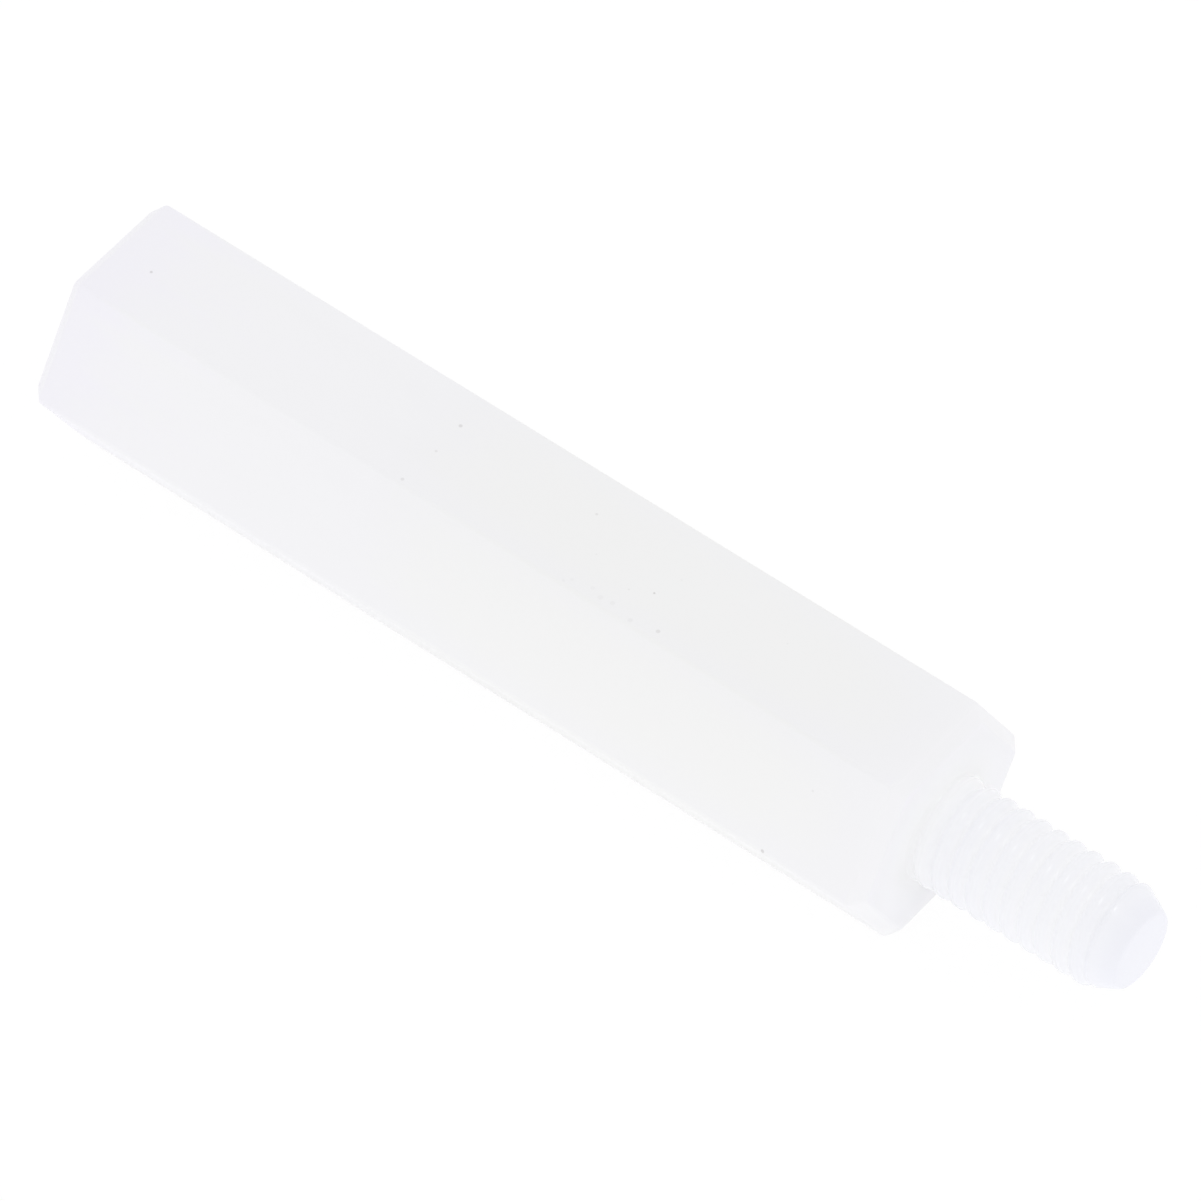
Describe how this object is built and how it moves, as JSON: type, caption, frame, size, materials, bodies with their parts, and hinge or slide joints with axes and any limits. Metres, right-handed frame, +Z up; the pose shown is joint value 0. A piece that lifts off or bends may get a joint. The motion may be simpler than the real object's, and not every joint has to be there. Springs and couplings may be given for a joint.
{
  "type": "hex standoff",
  "caption": "Male-female hex standoff in natural nylon: a long hexagonal body with a threaded stud at one end and a blind threaded hole in the other.",
  "frame": {"origin": "under the middle of the whole part, on the flat that it lies on", "axes": "+X along the part's axis, from the hole end to the stud's tip; +Z up, square to the top flat"},
  "size_m": [0.0432, 0.009, 0.0079],
  "materials": {
    "natural_nylon": "undyed milky white nylon, faintly translucent, satin as moulded"
  },
  "bodies": {
    "root": {"standoff": "natural_nylon"}
  },
  "joints": []
}
